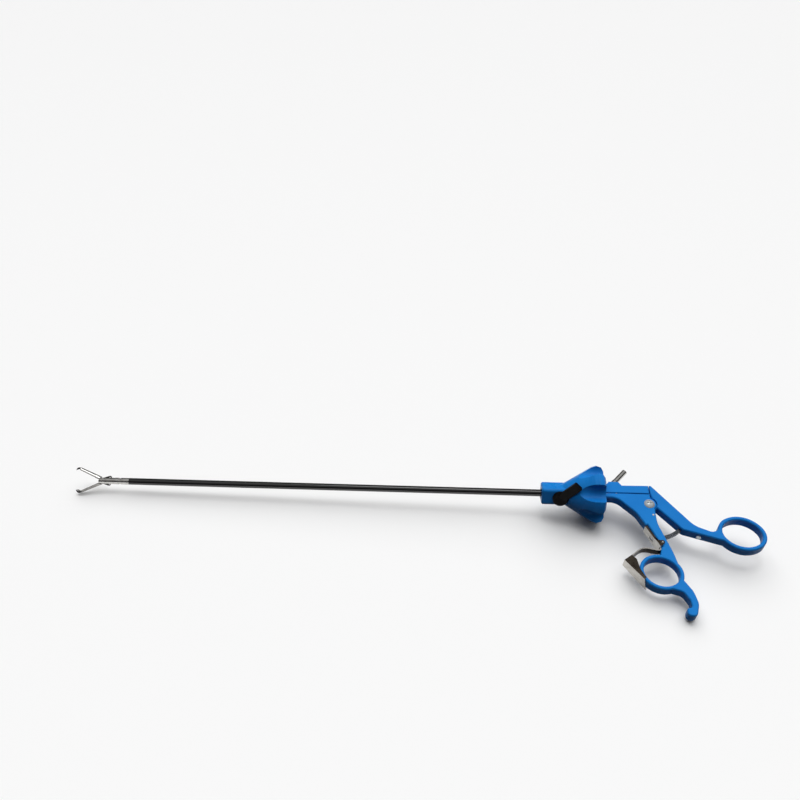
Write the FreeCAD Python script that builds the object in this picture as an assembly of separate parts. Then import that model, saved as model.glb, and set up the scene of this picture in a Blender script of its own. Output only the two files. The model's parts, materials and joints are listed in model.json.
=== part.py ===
import FreeCAD, Part
import math
import os

# Laparoscopic grasping forceps with a scissor handle, lying on its side.
# Drawing frame: X runs along the shaft from the jaws to the handle, Y stands in the plane of the
# handle with the finger grips towards -Y, and Z is the thickness of the handle.
# The knob is drawn with its flush port along +Z, and the jaws open in the XY plane.
# The origin is on the shaft axis, in the front face of the rotation knob. All sizes in millimetres.

# How the instrument lies on a table
handle_lean = 10.3          # the grips lean down to the table, degrees about the shaft
knob_turn = 73.4            # the knob rests on a fin, degrees about the shaft
jaw_turn = 55.5             # the jaws open near the upright plane, degrees about the shaft
nose_drop = 1.65            # the jaw end lies lower than the knob, degrees

# Clearances
running = 0.05              # radial, shaft in its bore
snug = 0.02                 # radial, parts fixed in each other
side_play = 0.1             # between flat faces that slide
swing_gap = 0.5             # round a part that swings past another

# Shaft
shaft_d = 5.0
sleeve_wall = 0.4
sheath_wall = 0.45
rod_d = 2.0
sleeve_shown = 304.2        # insulated length in front of the knob
sleeve_inside = 0.4         # insulated length inside the recess of the nose
collar_length = 6.0         # bare steel between insulation and groove
groove_length = 2.2
groove_depth = 0.35
tube_overlap = 4.0          # sheath tube held inside the jaw yoke

# Jaw yoke
pivot_to_groove = 12.3      # jaw pivot to the groove
yoke_slot = 2.7
slot_behind_pivot = 9.6
yoke_bore_d = 2.6
jaw_pin_d = 1.4

# Jaws
blade_length = 20.1         # pivot to the bend of the claw
blade_root_r = 2.35
blade_tip_r = 1.75
blade_gap = 0.12            # half the gap between closed blades
root_clear_r = 2.8          # the wide part of a blade starts outside the yoke's round end
claw_length = 3.0
claw_bend = 60.0
claw_thick = 1.3
single_claw_width = 1.1
double_claw_width = 0.95
double_claw_centre = 1.15
trough_width = 1.5
trough_depth = 0.7
serration_pitch = 1.25
serration_depth = 0.3
jaw_half_open = 24.5        # each jaw from the shaft axis, degrees

# Cam slots in the jaw tails
tail_thick = 0.9
tail_inner_z = 0.4
tail_disc_r = 2.0
tail_end_r = 1.25
tail_shoulder_r = 1.0
cam_pin_d = 0.9
cam_pin_open = 2.2          # pivot to cam pin with the jaws open
cam_samples = 9

# Rod tip and ball
tongue_thick = 0.7
tongue_half_height = 0.85
tongue_length = 5.6
rod_tip_d = 2.4
rod_tip_length = 4.5
rod_in_tip = 3.0
ball_d = 3.6
ball_collar_d = 2.6
ball_collar_length = 2.6
rod_in_ball = 2.4

# Rotation knob
knob_length = 43.5
nose_side = 12.9
nose_corner_r = 2.4
nose_bevel = 0.9
nose_relief_d = 7.6
nose_relief_depth = 0.8
nose_length = 15.0          # straight square part before the flare
flare_start_r = 6.4
flare_step = 0.6
flare_end_x = 35.5
flare_end_r = 19.4
knob_r = 20.5
knob_widest_x = 38.6
knob_rear_r = 16.6
fin_count = 6
flute_r = 6.0
flute_floor_r = 13.4
rear_recess_r = 8.0
rear_recess_depth = 2.0

# Flush port and its cap
port_x = 12.8
port_stem_d = 4.4
port_bore_d = 2.0
port_flange_d = 9.8
port_flange_height = 0.6
port_neck_d = 6.0
port_neck_height = 1.4
cap_d = 10.8
cap_wall_top = 1.5
cap_height = 2.2
cap_bevel = 0.5
cap_tab_length = 17.5       # boss centre to the end of the tab
cap_tab_width = 6.6
cap_tab_corner_r = 0.9
cap_tab_gap = 0.35          # between the tab and the flare
cap_tab_thick = 2.0
cap_tab_angle = 47.0        # degrees from the shaft towards +Y
cap_tab_rise = 12.0          # degrees

# Hub, bush and clip
hub_d = 5.0
hub_start = 16.0
hub_rear = 10.0             # hub length behind the knob
sheath_end = 28.0
seal_thick = 2.0
bush_d = 6.4
bush_length = 4.0
clip_d = 6.2
clip_thick = 0.8
clip_groove_d = 4.4
clip_behind_bush = 4.0

# Handle, drawn as plates in the XY plane
plate_thick = 7.6
edge_bevel = 0.7
body_gap = 0.9              # knob to handle
neck_half = 4.5
seam_y = -0.8
cover_end = 75.7
cover_top = 6.5
pivot_x = 74.3
pivot_y = -9.3
cheek_r = 5.0
grip_front_low = (77.4, -43.0)
grip_front_high = (70.6, -29.0)
finger_ring = (74.6, -62.4)
finger_hole_a = 11.7
finger_hole_b = 10.3
finger_ring_tilt = -17.0
finger_band = 2.5
thumb_ring = (133.0, -30.8)
thumb_hole_a = 13.1
thumb_hole_b = 10.6
thumb_ring_tilt = -12.0
thumb_band = 2.7
thumb_closing = 21.0        # degrees from open to closed

# Current pin and brush
hf_pin_d = 4.0
hf_pin_shown = 15.4
hf_pin_bevel = 0.6
hf_pin_lean = 40.6          # degrees back from upright
hf_collar_d = 4.6
hf_collar_length = 2.6
hf_neck_d = 2.9
hf_neck_length = 0.7
hf_spigot_d = 2.0
hf_spigot_length = 2.6
hf_boss_height = 9.3        # above the shaft axis
hf_behind_front = 7.4       # behind the front of the body
boss_half_length = 3.3
brush_d = 1.8
brush_behind_front = 5.7

# Pivot
pivot_shank_d = 3.6
pivot_head_d = 7.4
pivot_head_height = 1.5
pivot_cross_width = 0.9
pivot_cross_depth = 0.7
pivot_bush_wall = 0.7
nut_across = 6.4
nut_thick = 2.2
nut_stand = 0.9
tongue_plate = 4.4
tongue_disc_r = 5.6
fork_wall = 1.3
rivet_d = 1.4
rivet_at = (75.6, -18.4)

# Ratchet
rack_r = 26.0
rack_height = 2.4
rack_thick = 2.0
rack_play = 0.35
rack_free_angle = -80.0
rack_root_angle = -43.0
tooth_pitch = 3.0           # degrees
tooth_depth = 0.45
tang_length = 15.0
tang_height = 2.4
rack_screw_d = 1.6
rack_screw_head_d = 3.2
rack_screw_head = 0.8

# Release lever, bent from sheet
sheet = 0.8
web_gap = 0.5
recess_depth = 1.4
channel_side_gap = 0.15
channel_start = -2.0        # along the front edge of the grip
channel_end = 15.6
flange_depth = 1.3
lever_pin_at = (78.3, -40.4)
lever_pin_d = 1.2
lever_ear_r = 1.5
strip_half_width = 2.6
strip_overlap = 3.0
strip_drop = 3.4
strip_bend_r = 2.2
strip_middle = (64.6, -43.6)
strip_sweep_r = 9.0
pad_top = (54.6, -51.9)
pad_end = (62.0, -69.7)
pad_top_half = 5.0
pad_end_half = 8.3
pad_corner_r = 1.0
window_play = 0.5

# Values that follow from the sizes above
shaft_r = shaft_d / 2.0
sleeve_inner_r = shaft_r - sleeve_wall
sheath_r = sleeve_inner_r - snug
sheath_inner_r = sheath_r - sheath_wall
rod_r = rod_d / 2.0
sleeve_front = -sleeve_shown
groove_rear = sleeve_front - collar_length
groove_front = groove_rear - groove_length
jaw_pivot_x = groove_front - pivot_to_groove
lever_arm = -pivot_y
fork_swing = math.radians(thumb_closing / 2.0)
rod_travel = 2.0 * lever_arm * math.tan(fork_swing)
ball_x = pivot_x - lever_arm * math.tan(fork_swing)
cam_pin_closed = cam_pin_open + rod_travel
cam_pin_x = jaw_pivot_x + cam_pin_open
plate_half = plate_thick / 2.0
body_front = knob_length + body_gap
clip_x = body_front + bush_length + clip_behind_bush
hf_base = (body_front + hf_behind_front, hf_boss_height)
brush_x = body_front + brush_behind_front
tongue_half = tongue_plate / 2.0
cheek_slot_half = tongue_half + side_play
ORIGIN = FreeCAD.Vector(0, 0, 0)
X_AXIS = FreeCAD.Vector(1, 0, 0)
Y_AXIS = FreeCAD.Vector(0, 1, 0)
Z_AXIS = FreeCAD.Vector(0, 0, 1)


def point(x, y, z=0.0):
    return FreeCAD.Vector(x, y, z)


def rod_along_x(radius, x_low, x_high):
    return Part.makeCylinder(radius, x_high - x_low, point(x_low, 0), X_AXIS)


def rod_along_z(radius, centre, z_low, z_high):
    return Part.makeCylinder(radius, z_high - z_low, point(centre[0], centre[1], z_low), Z_AXIS)


def block(x_low, x_high, y_low, y_high, z_low, z_high):
    size = (x_high - x_low, y_high - y_low, z_high - z_low)
    return Part.makeBox(size[0], size[1], size[2], point(x_low, y_low, z_low))


def polar(centre, radius, degrees):
    angle = math.radians(degrees)
    return (centre[0] + radius * math.cos(angle), centre[1] + radius * math.sin(angle))


def along(start, direction, distance):
    return (start[0] + direction[0] * distance, start[1] + direction[1] * distance)


def unit(start, end):
    length = math.dist(start, end)
    return ((end[0] - start[0]) / length, (end[1] - start[1]) / length)


def edge_through(points):
    """A straight edge for two points, a smooth curve for more."""
    vectors = [point(*p) for p in points]
    if len(vectors) == 2:
        return Part.makeLine(vectors[0], vectors[1])
    curve = Part.BSplineCurve()
    curve.interpolate(vectors)
    return curve.toShape()


def arc_through(start, middle, end):
    return Part.Arc(point(*start), point(*middle), point(*end)).toShape()


def corner_bend(before, corner, after):
    """Start, middle and end of the arc that rounds a corner (x, y, radius)."""
    place = corner[:2]
    radius = corner[2]
    into = unit(place, before[:2])
    out = unit(place, after[:2])
    half = math.acos(into[0] * out[0] + into[1] * out[1]) / 2.0
    run = radius / math.tan(half)
    middle = unit((0, 0), (into[0] + out[0], into[1] + out[1]))
    depth = radius / math.sin(half) - radius
    return (along(place, into, run), along(place, middle, depth), along(place, out, run))


def joined(bends):
    """Arcs of the bends with the straight runs between them."""
    edges = []
    for i, (start, middle, end) in enumerate(bends):
        if i > 0 and math.dist(bends[i - 1][2], start) > 1e-4:
            edges.append(edge_through([bends[i - 1][2], start]))
        if math.dist(start, end) > 1e-4:
            edges.append(arc_through(start, middle, end))
    return edges


def rounded_chain(corners):
    """Open outline through corners (x, y, radius), sharp at both ends."""
    first = (corners[0][:2],) * 3
    last = (corners[-1][:2],) * 3
    bends = [corner_bend(*corners[i - 1:i + 2]) for i in range(1, len(corners) - 1)]
    return joined([first] + bends + [last])


def rounded_outline(corners):
    """Closed outline from corners (x, y, radius), straight runs joined by tangent arcs."""
    count = len(corners)
    bends = [corner_bend(corners[i - 1], corners[i], corners[(i + 1) % count]) for i in range(count)]
    last = (bends[0][0],) * 3
    return joined(bends + [last])


def prism(edges, z_low, z_high):
    face = Part.Face(Part.Wire(edges))
    face.translate(point(0, 0, z_low))
    return face.extrude(point(0, 0, z_high - z_low))


def polygon_prism(points, z_low, z_high):
    closed = [point(*p) for p in points] + [point(*points[0])]
    return prism(Part.makePolygon(closed).Edges, z_low, z_high)


def oval(centre, half_long, half_short, tilt, z_low, z_high):
    """Oval plate of four tangent arcs."""
    end_r = half_short - 0.7 * (half_long - half_short)
    end_x = half_long - end_r
    side_r = (end_x ** 2 + half_short ** 2 - end_r ** 2) / (2.0 * (half_short - end_r))
    side_y = half_short - side_r
    away = unit((0, side_y), (end_x, 0))
    meet = along((0, side_y), away, side_r)
    stations = [(half_long, 0), meet, (0, half_short), (-meet[0], meet[1]), (-half_long, 0),
                (-meet[0], -meet[1]), (0, -half_short), (meet[0], -meet[1])]
    turned = []
    for x, y in stations:
        turned.append(polar(centre, math.hypot(x, y), tilt + math.degrees(math.atan2(y, x))))
    edges = []
    for i in range(1, 8, 2):
        edges.append(arc_through(turned[i], turned[(i + 1) % 8], turned[(i + 2) % 8]))
    return prism(edges, z_low, z_high)


def strap(start, start_r, end, end_r, z_low, z_high):
    """A flat link: two round ends joined by their tangents."""
    heading = math.degrees(math.atan2(end[1] - start[1], end[0] - start[0]))
    spread = math.degrees(math.acos((start_r - end_r) / math.dist(start, end)))
    start_up = polar(start, start_r, heading + spread)
    start_back = polar(start, start_r, heading + 180.0)
    start_down = polar(start, start_r, heading - spread)
    end_down = polar(end, end_r, heading - spread)
    end_tip = polar(end, end_r, heading)
    end_up = polar(end, end_r, heading + spread)
    edges = [
        arc_through(start_up, start_back, start_down),
        edge_through([start_down, end_down]),
        arc_through(end_down, end_tip, end_up),
        edge_through([end_up, start_up]),
    ]
    return prism(edges, z_low, z_high)


def ring_sector(centre, inner_r, outer_r, low_angle, high_angle, z_low, z_high):
    mid = (low_angle + high_angle) / 2.0
    edges = [
        arc_through(*[polar(centre, outer_r, a) for a in (low_angle, mid, high_angle)]),
        edge_through([polar(centre, outer_r, high_angle), polar(centre, inner_r, high_angle)]),
        arc_through(*[polar(centre, inner_r, a) for a in (high_angle, mid, low_angle)]),
        edge_through([polar(centre, inner_r, low_angle), polar(centre, outer_r, low_angle)]),
    ]
    return prism(edges, z_low, z_high)


def fused(solids):
    return solids[0].multiFuse(solids[1:]).removeSplitter()


def bevel_plate_edges(plate, width):
    """Bevels the rims of a plate where its flat faces meet its walls."""
    rims = []
    for edge in plate.Edges:
        box = edge.BoundBox
        on_top = abs(box.ZMin - plate_half) < 1e-6 and abs(box.ZMax - plate_half) < 1e-6
        on_bottom = abs(box.ZMin + plate_half) < 1e-6 and abs(box.ZMax + plate_half) < 1e-6
        if on_top or on_bottom:
            rims.append(edge)
    return plate.makeChamfer(width, rims)


# Shaft pieces

def insulation_sleeve():
    outer = rod_along_x(shaft_r, sleeve_front, sleeve_inside)
    return outer.cut(rod_along_x(sleeve_inner_r, sleeve_front - 1, sleeve_inside + 1))


def sheath_tube():
    front = sleeve_front - tube_overlap
    tube = rod_along_x(sheath_r, front, sheath_end)
    tube = tube.cut(rod_along_x(sheath_inner_r, front - 1, sheath_end + 1))
    flush_hole = rod_along_z(port_bore_d / 2.0, (port_x, 0), 0, shaft_d)
    return tube.cut(flush_hole)


def jaw_yoke():
    """Steel end of the shaft: collar, groove and a two-sided fork with round ends."""
    barrel = rod_along_x(shaft_r, jaw_pivot_x - shaft_r, sleeve_front)
    side_view = fused([
        rod_along_z(shaft_r, (jaw_pivot_x, 0), -shaft_r, shaft_r),
        block(jaw_pivot_x, sleeve_front, -shaft_r, shaft_r, -shaft_r, shaft_r),
    ])
    yoke = barrel.common(side_view)
    groove = rod_along_x(shaft_d, groove_front, groove_rear)
    yoke = yoke.cut(groove.cut(rod_along_x(shaft_r - groove_depth, groove_front, groove_rear)))
    half = yoke_slot / 2.0
    slot_end = jaw_pivot_x + slot_behind_pivot
    yoke = yoke.cut(block(jaw_pivot_x - shaft_d, slot_end, -shaft_d, shaft_d, -half, half))
    yoke = yoke.cut(rod_along_x(yoke_bore_d / 2.0, slot_end - 1, sleeve_front + 1))
    seat = rod_along_x(sheath_r + snug, sleeve_front - tube_overlap, sleeve_front + 1)
    yoke = yoke.cut(seat)
    return yoke.cut(rod_along_z(jaw_pin_d / 2.0 + snug, (jaw_pivot_x, 0), -shaft_d, shaft_d))


def jaw_pin():
    """Pivot pin, ground flush with the round outside of the yoke."""
    pin = rod_along_z(jaw_pin_d / 2.0, (jaw_pivot_x, 0), -shaft_d, shaft_d)
    return pin.common(rod_along_x(shaft_r, jaw_pivot_x - shaft_d, jaw_pivot_x + shaft_d))


def cam_point(share, side_step):
    """Point of the cam slot, as polar travel of the pin in the closed jaw, stepped to one side."""
    radius = cam_pin_open + rod_travel * share
    angle = jaw_half_open * (1.0 - share)
    pin = polar((0, 0), radius, angle)
    turn_rate = -math.radians(jaw_half_open)
    heading = math.radians(angle) + math.atan2(radius * turn_rate, rod_travel)
    return (pin[0] - side_step * math.sin(heading), pin[1] + side_step * math.cos(heading))


def cam_slot(z_low, z_high):
    """Spiral slot in which equal steps of the rod give equal angles of the jaw."""
    half = cam_pin_d / 2.0 + running
    shares = [i / (cam_samples - 1.0) for i in range(cam_samples)]
    upper = [cam_point(s, half) for s in shares]
    lower = [cam_point(s, -half) for s in reversed(shares)]
    far_end = arc_through(upper[-1], along_slot_end(1.0, half), lower[0])
    near_end = arc_through(lower[-1], along_slot_end(0.0, -half), upper[0])
    return prism([edge_through(upper), far_end, edge_through(lower), near_end], z_low, z_high)


def along_slot_end(share, step):
    left = cam_point(share, abs(step))
    right = cam_point(share, -abs(step))
    middle = ((left[0] + right[0]) / 2.0, (left[1] + right[1]) / 2.0)
    across = unit(right, left)
    return (middle[0] + across[1] * step, middle[1] - across[0] * step)


def claw(z_low, z_high):
    """Hooked tooth at the end of a blade, pointing down across the closed line."""
    start = (-(blade_length - claw_thick * 1.6), blade_gap)
    bend = (-blade_length, blade_gap + claw_thick * 0.5)
    heading = math.radians(180.0 + claw_bend)
    tip = (bend[0] + claw_length * math.cos(heading), bend[1] + claw_length * math.sin(heading))
    back_start = (start[0], blade_gap + claw_thick)
    back_bend = (bend[0] - claw_thick * 0.42, bend[1] + claw_thick * 0.28)
    inner_bend = (bend[0] + claw_thick * 0.30, blade_gap)
    edges = [
        edge_through([start, back_start]),
        edge_through([back_start, back_bend, tip]),
        edge_through([tip, inner_bend]),
        edge_through([inner_bend, start]),
    ]
    return prism(edges, z_low, z_high)


def blade():
    """Half-round tapered blade above the closed line, with trough and cross serrations."""
    body = Part.makeCone(blade_root_r, blade_tip_r, blade_length, ORIGIN, point(-1, 0))
    body = body.common(block(-blade_length + claw_thick, 0, blade_gap, shaft_d, -shaft_d, shaft_d))
    body = body.cut(rod_along_z(root_clear_r, (0, 0), -shaft_d, shaft_d))
    trough_low = -(blade_length - 2.5 * claw_thick)
    trough_high = -2.0 * root_clear_r
    floor = blade_gap + trough_depth
    half = trough_width / 2.0
    body = body.cut(block(trough_low, trough_high, 0, floor, -half, half))
    count = int((trough_high - trough_low) / serration_pitch)
    notches = []
    for i in range(count):
        x = trough_low + (i + 0.5) * serration_pitch
        reach = serration_pitch * 0.3
        corners = [(x - reach, 0), (x + reach, 0), (x, blade_gap + serration_depth)]
        notches.append(polygon_prism(corners, -shaft_d, shaft_d))
    return body.cut(Part.makeCompound(notches))


def jaw(tail_low, tail_high, claws):
    """Upper jaw in its closed place round the pivot at the origin."""
    shoulder = polar((0, 0), cam_pin_open, jaw_half_open)
    tail_end = (cam_pin_closed, 0)
    tail = fused([
        strap((0, 0), tail_disc_r, tail_end, tail_end_r, tail_low, tail_high),
        strap(shoulder, tail_shoulder_r, tail_end, tail_end_r - 0.05, tail_low, tail_high),
    ])
    neck_end = (-2.0 * root_clear_r, blade_gap + 1.0)
    neck = strap((0, 0), tail_disc_r, neck_end, 0.9, tail_low, tail_high)
    below = block(-blade_length, 0, -shaft_d, blade_gap, -shaft_d, shaft_d)
    below = below.cut(rod_along_z(root_clear_r - side_play, (0, 0), -shaft_d, shaft_d))
    tail = tail.common(rod_along_x(shaft_r - snug, 0, 2 * cam_pin_closed))
    plate = fused([tail, neck.cut(below)])
    plate = plate.cut(rod_along_z(jaw_pin_d / 2.0 + running, (0, 0), -shaft_d, shaft_d))
    plate = plate.cut(cam_slot(-shaft_d, shaft_d))
    return fused([plate, blade()] + claws)


def open_jaw(shape, degrees):
    shape.rotate(ORIGIN, Z_AXIS, degrees)
    shape.translate(point(jaw_pivot_x, 0))
    return shape


def upper_jaw():
    half = single_claw_width / 2.0
    solid = jaw(tail_inner_z, tail_inner_z + tail_thick, [claw(-half, half)])
    return open_jaw(solid, -jaw_half_open)


def lower_jaw():
    """The same jaw turned over, with two claws that pass on both sides of the other."""
    half = double_claw_width / 2.0
    claws = [claw(z - half, z + half) for z in (-double_claw_centre, double_claw_centre)]
    solid = jaw(tail_inner_z, tail_inner_z + tail_thick, claws)
    solid.rotate(ORIGIN, X_AXIS, 180.0)
    return open_jaw(solid, jaw_half_open)


def rod_tip():
    """Flat tongue between the jaw tails, with a round socket for the rod."""
    half = tongue_thick / 2.0
    end = (cam_pin_x + tongue_length, 0)
    tongue = strap((cam_pin_x, 0), tongue_half_height, end, tongue_half_height - 0.05, -half, half)
    tongue = tongue.cut(rod_along_z(cam_pin_d / 2.0 + snug, (cam_pin_x, 0), -1, 1))
    socket = rod_along_x(rod_tip_d / 2.0, end[0], end[0] + rod_tip_length)
    rod_start = end[0] + rod_tip_length - rod_in_tip
    socket = socket.cut(rod_along_x(rod_r + snug, rod_start, end[0] + rod_tip_length + 1))
    return fused([tongue, socket])


def cam_pin():
    half = tail_inner_z + tail_thick
    return rod_along_z(cam_pin_d / 2.0, (cam_pin_x, 0), -half, half)


def pull_rod():
    start = cam_pin_x + tongue_length + rod_tip_length - rod_in_tip
    end = ball_x - ball_d / 2.0 - ball_collar_length + rod_in_ball
    return rod_along_x(rod_r, start, end)


def rod_ball():
    """Ball that the thumb handle's fork holds, with a collar for the rod."""
    collar_start = ball_x - ball_d / 2.0 - ball_collar_length
    ball = Part.makeSphere(ball_d / 2.0, point(ball_x, 0))
    collar = rod_along_x(ball_collar_d / 2.0, collar_start, ball_x)
    ball = fused([ball, collar])
    return ball.cut(rod_along_x(rod_r + snug, collar_start - 1, collar_start + rod_in_ball))


# Knob and what turns with it

def square_nose(length):
    half = nose_side / 2.0
    nose = block(0, length, -half, half, -half, half)
    long_edges = [e for e in nose.Edges if abs(e.BoundBox.XLength - length) < 1e-6]
    nose = nose.makeFillet(nose_corner_r, long_edges)
    front_edges = [e for e in nose.Edges if e.BoundBox.XMax < 1e-6]
    return nose.makeChamfer(nose_bevel, front_edges)


def flare():
    """Turned outside of the knob, from the nose to its widest part and round to the rear."""
    rear_corner = (knob_length - 1.6, (knob_r + knob_rear_r) / 2.0 + 0.9)
    profile = [
        edge_through([(nose_length - 3, 0), (nose_length - 3, flare_start_r)]),
        edge_through([(nose_length - 3, flare_start_r), (nose_length, flare_start_r + flare_step)]),
        edge_through([(nose_length, flare_start_r + flare_step), (flare_end_x, flare_end_r)]),
        edge_through([(flare_end_x, flare_end_r), (knob_widest_x, knob_r)]),
        edge_through([(knob_widest_x, knob_r), rear_corner]),
        edge_through([rear_corner, (knob_length, knob_rear_r)]),
        edge_through([(knob_length, knob_rear_r), (knob_length, 0)]),
        edge_through([(knob_length, 0), (nose_length - 3, 0)]),
    ]
    face = Part.Face(Part.Wire(profile))
    return face.revolve(ORIGIN, X_AXIS, 360)


def rotation_knob():
    """Square nose flaring into fins that are parted by round flutes."""
    knob = fused([square_nose(nose_length + 6), flare()])
    flutes = []
    for i in range(fin_count):
        angle = math.radians(360.0 * (i + 0.5) / fin_count)
        offset = flute_floor_r + flute_r
        start = point(nose_length, offset * math.sin(angle), offset * math.cos(angle))
        flutes.append(Part.makeCylinder(flute_r, knob_length, start, X_AXIS))
    knob = knob.cut(Part.makeCompound(flutes))
    recess = rod_along_x(rear_recess_r, knob_length - rear_recess_depth, knob_length + 1)
    knob = knob.cut(recess)
    knob = knob.cut(rod_along_x(nose_relief_d / 2.0, -1, nose_relief_depth))
    knob = knob.cut(rod_along_x(sheath_r + snug, -1, hub_start))
    knob = knob.cut(rod_along_x(hub_d / 2.0 + snug, hub_start, knob_length + 1))
    port_seat = rod_along_z(cap_d / 2.0 + swing_gap, (port_x, 0), nose_side / 2.0, knob_r)
    knob = knob.cut(port_seat)
    return knob.cut(rod_along_z(port_stem_d / 2.0 + snug, (port_x, 0), 0, nose_side))


def sheath_hub():
    """Steel hub that carries knob and sheath and turns in the handle."""
    end = knob_length + hub_rear
    hub = rod_along_x(hub_d / 2.0, hub_start, end)
    seal_end = sheath_end + seal_thick
    hub = hub.cut(rod_along_x(sheath_r + snug, hub_start - 1, seal_end))
    hub = hub.cut(rod_along_x(rod_r + running, seal_end - 1, end + 1))
    groove_end = clip_x + clip_thick + side_play
    groove = rod_along_x(hub_d, clip_x - side_play, groove_end)
    core = rod_along_x(clip_groove_d / 2.0, clip_x - side_play, groove_end)
    return hub.cut(groove.cut(core))


def rod_seal():
    seal = rod_along_x(sheath_r, sheath_end + snug, sheath_end + seal_thick)
    return seal.cut(rod_along_x(rod_r + running, sheath_end - 1, sheath_end + seal_thick + 1))


def retaining_clip():
    """Open spring clip in the groove of the hub."""
    ring = rod_along_x(clip_d / 2.0, clip_x, clip_x + clip_thick)
    ring = ring.cut(rod_along_x(clip_groove_d / 2.0 + snug, clip_x - 1, clip_x + clip_thick + 1))
    mouth = clip_groove_d * 0.35
    return ring.cut(block(clip_x - 1, clip_x + clip_thick + 1, -clip_d, 0, -mouth, mouth))


def flush_port():
    """Port with a stem in the nose, a flange on its flat and a neck for the cap."""
    base = nose_side / 2.0
    centre = (port_x, 0)
    port = fused([
        rod_along_z(port_stem_d / 2.0, centre, sheath_r + snug, base),
        rod_along_z(port_flange_d / 2.0, centre, base, base + port_flange_height),
        rod_along_z(port_neck_d / 2.0, centre, base, base + port_flange_height + port_neck_height),
    ])
    port = port.cut(rod_along_z(port_bore_d / 2.0, centre, 0, nose_side * 2))
    return port.cut(rod_along_x(sheath_r + snug, 0, 2 * port_x))


def flush_cap():
    """Soft cap over the neck, with a tab that lies back over the flare."""
    seat = nose_side / 2.0 + port_flange_height + snug
    top = seat + cap_height
    centre = (port_x, 0)
    cup = rod_along_z(cap_d / 2.0, centre, seat, top)
    cup = cup.makeChamfer(cap_bevel, [e for e in cup.Edges if e.BoundBox.ZMin > top - 1e-6])
    tab_end = port_x + cap_tab_length
    half = cap_tab_width / 2.0
    tab = prism(rounded_outline([
        (port_x - half, -half, 1.0),
        (tab_end, -half, cap_tab_corner_r),
        (tab_end, half, cap_tab_corner_r),
        (port_x - half, half, 1.0),
    ]), top - cap_tab_thick, top - 0.1)
    tab.rotate(point(port_x, 0, top), Y_AXIS, -cap_tab_rise)
    tab.rotate(point(port_x, 0, top), Z_AXIS, cap_tab_angle)
    low_r = flare_start_r + flare_step + cap_tab_gap
    flare_room = Part.makeCone(low_r, flare_end_r + cap_tab_gap, flare_end_x - nose_length,
                               point(nose_length, 0), X_AXIS)
    cap = fused([cup, tab.cut(flare_room)])
    neck_r = port_neck_d / 2.0 + snug
    neck_top = seat + port_neck_height
    cap = cap.cut(rod_along_z(neck_r, centre, seat - 1, neck_top))
    ring_room = rod_along_z(port_flange_d, centre, 0, seat)
    return cap.cut(ring_room)


# Handle

def front_edge_direction():
    return unit(grip_front_high, grip_front_low)


def front_edge_normal():
    heading = front_edge_direction()
    return (heading[1], -heading[0])


def body_outline():
    """Lower half of the barrel housing running into the front grip."""
    cheek_top = polar((pivot_x, pivot_y), cheek_r, 72.0)
    cheek_mid = polar((pivot_x, pivot_y), cheek_r, 10.0)
    cheek_low = polar((pivot_x, pivot_y), cheek_r, -50.0)
    housing = rounded_chain([
        (*grip_front_low, 0),
        (*grip_front_high, 30.0),
        (64.4, -16.8, 14.0),
        (body_front + 8.2, -neck_half - 0.1, 10.0),
        (body_front, -neck_half, 0),
    ])
    front = rounded_chain([(body_front, -neck_half, 0), (body_front, seam_y, 0), (cover_end, seam_y, 0)])
    grip = rounded_chain([
        (*cheek_low, 0),
        (77.4, -24.6, 20.0),
        (84.3, -46.8, 60.0),
        (87.6, -63.0, 0),
        (75.6, -50.0, 0),
        (*grip_front_low, 0),
    ])
    cheek = [edge_through([(cover_end, seam_y), cheek_top]), arc_through(cheek_top, cheek_mid, cheek_low)]
    return housing + front + cheek + grip


def hook_outline():
    """Tail hook that curls under the finger ring and ends in a rounded knob."""
    return rounded_outline([
        (77.0, -73.9, 0),
        (86.6, -66.0, 0),
        (92.4, -75.6, 12.0),
        (94.3, -84.0, 9.0),
        (91.6, -93.6, 3.4),
        (85.6, -92.4, 2.4),
        (86.3, -87.6, 1.2),
        (89.6, -87.0, 1.6),
        (89.3, -82.4, 5.0),
        (86.0, -76.4, 5.0),
    ])


def barrel_bores():
    """Seats along the shaft axis shared by the two halves of the housing."""
    bush_end = body_front + bush_length
    clip_room_end = clip_x + clip_thick + swing_gap
    return fused([
        rod_along_x(bush_d / 2.0 + snug, body_front - 1, bush_end),
        rod_along_x(hub_d / 2.0 + 0.3, bush_end - 1, clip_x),
        rod_along_x(clip_d / 2.0 + 0.3, clip_x - 0.4, clip_room_end),
        rod_along_x(ball_collar_d / 2.0 + 0.4, clip_room_end - 1, pivot_x),
    ])


def fork_slot():
    """Slot for the thumb handle's tongue, round at the pivot and open to the rear."""
    half = cheek_slot_half
    room = tongue_disc_r + swing_gap
    top = pivot_y + lever_arm + ball_d / 2.0 + fork_wall + swing_gap
    return fused([
        rod_along_z(room, (pivot_x, pivot_y), -half, half),
        block(pivot_x - room, cover_end + 10, pivot_y, top, -half, half),
    ])


def rack_slot():
    inner = rack_r - rack_height / 2.0 - rack_play
    outer = rack_r + rack_height / 2.0 + rack_play
    half = rack_thick / 2.0 + rack_play
    return ring_sector((pivot_x, pivot_y), inner, outer, -112.0, -66.0, -half, half)


def channel_recess():
    """Flat step in the front edge of the grip, behind the lever's channel."""
    heading = front_edge_direction()
    out = front_edge_normal()
    low = along(grip_front_high, heading, channel_start - swing_gap)
    high = along(grip_front_high, heading, channel_end + swing_gap)
    corners = [
        along(low, out, -recess_depth),
        along(high, out, -recess_depth * 0.25),
        along(high, out, 6.0),
        along(low, out, 6.0),
    ]
    return polygon_prism(corners, -plate_thick, plate_thick)


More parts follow.
